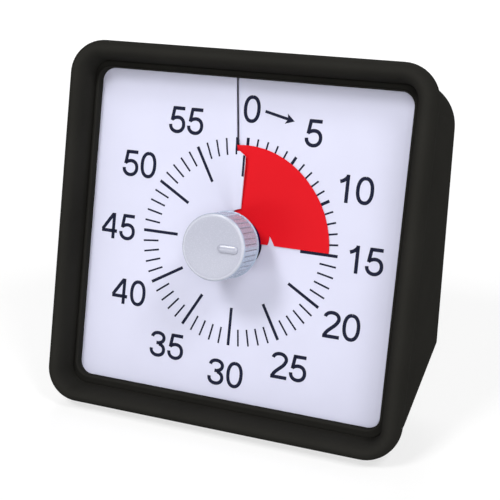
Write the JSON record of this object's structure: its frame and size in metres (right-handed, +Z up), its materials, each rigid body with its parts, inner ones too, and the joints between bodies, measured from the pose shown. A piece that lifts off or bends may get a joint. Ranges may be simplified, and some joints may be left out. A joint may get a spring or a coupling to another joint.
{
  "type": "visual countdown timer",
  "caption": "Square leaning countdown timer with a white minute dial, a ribbed knob that turns, a red film winding through a slit, and a fold-out rear leg.",
  "frame": {"origin": "centre of the footprint, on the surface that the feet and the rear leg stand on", "axes": "+X to the right as seen from the front, +Y to the rear, +Z up; the dial faces -Y and leans back 14.5 degrees"},
  "size_m": [0.1884, 0.1174, 0.1833],
  "materials": {
    "case_black": "fine satin texture",
    "dial_white": "smooth printed sheet",
    "film_red": "smooth film",
    "knob_grey": "satin",
    "hub_black": "satin",
    "rubber_black": "soft matt",
    "steel": "plain",
    "spring_bronze": "plain",
    "magnet_grey": "plain",
    "brass": "plain",
    "copper": "enamelled wire",
    "carrier_grey": "moulded",
    "gear_cream": "moulded acetal",
    "board_green": "lacquered",
    "cell_label": "plain label",
    "lead_red": "insulated wire",
    "switch_white": "moulded",
    "capacitor_blue": "sleeved"
  },
  "bodies": {
    "housing": {"front_frame": "case_black", "rear_case": "case_black", "dial_plate": "dial_white", "film_carrier": "carrier_grey", "carrier_screws": "steel", "case_screws": "steel", "front_feet": "rubber_black", "magnets": "magnet_grey", "battery_cell": "cell_label", "battery_spring": "steel", "battery_contact": "steel", "battery_leads": "lead_red", "switch_body": "steel", "buzzer": "brass", "buzzer_ring": "rubber_black", "circuit_board": "board_green", "timer_chip": "hub_black", "quartz_crystal": "steel", "capacitor": "capacitor_blue", "board_screws": "steel", "board_posts": "carrier_grey", "movement_plate": "carrier_grey", "movement_cover": "carrier_grey", "movement_screws": "steel", "shaft_bush": "brass", "bush_nut": "brass", "motor_stator": "magnet_grey", "motor_coil": "copper", "coil_bobbin": "gear_cream", "leg_pin": "steel", "leg_detent": "spring_bronze"},
    "knob": {"knob": "knob_grey", "knob_shaft": "steel", "film_hub": "hub_black", "film_clamp": "hub_black", "red_film": "film_red", "knob_clip": "spring_bronze", "main_wheel": "gear_cream", "clutch_spring": "spring_bronze", "shaft_clip": "steel"},
    "idler": {"idler_wheel": "gear_cream", "idler_arbor": "steel"},
    "rotor": {"rotor_magnet": "magnet_grey", "rotor_pinion": "gear_cream", "rotor_arbor": "steel"},
    "rear_leg": {"stand_leg": "case_black", "leg_foot": "rubber_black"},
    "battery_door": {"battery_door": "case_black"},
    "sound_switch": {"sound_switch": "switch_white"}
  },
  "joints": [
    {"name": "knob_turn", "type": "hinge", "parent": "housing", "child": "knob", "pos_m": [0, -0.01918, 0.08985], "axis": [0, -0.9681, 0.2504], "range_deg": [-270, 90], "deforming": ["red_film"]},
    {"name": "idler_turn", "type": "hinge", "parent": "housing", "child": "idler", "pos_m": [0.012, -0.00696, 0.06522], "axis": [0, -0.9681, 0.2504], "range_deg": [-360, 1080]},
    {"name": "rotor_turn", "type": "hinge", "parent": "housing", "child": "rotor", "pos_m": [-0.00031, -0.00363, 0.06212], "axis": [0, -0.9681, 0.2504], "range_deg": [-4320, 1440]},
    {"name": "leg_fold", "type": "hinge", "parent": "housing", "child": "rear_leg", "pos_m": [0, 0.03373, 0.06133], "axis": [1, 0, 0], "range_deg": [0, 154.45]},
    {"name": "door_lift", "type": "slide", "parent": "housing", "child": "battery_door", "axis": [0, 0.9956, -0.0932], "range_m": [0, 0.03]},
    {"name": "sound_slide", "type": "slide", "parent": "housing", "child": "sound_switch", "axis": [0, 0.0932, 0.9956], "range_m": [0, 0.004]}
  ],
  "couplings": [
    {"joint": "idler_turn", "follows": "knob_turn", "ratio": -4},
    {"joint": "rotor_turn", "follows": "knob_turn", "ratio": 16}
  ]
}
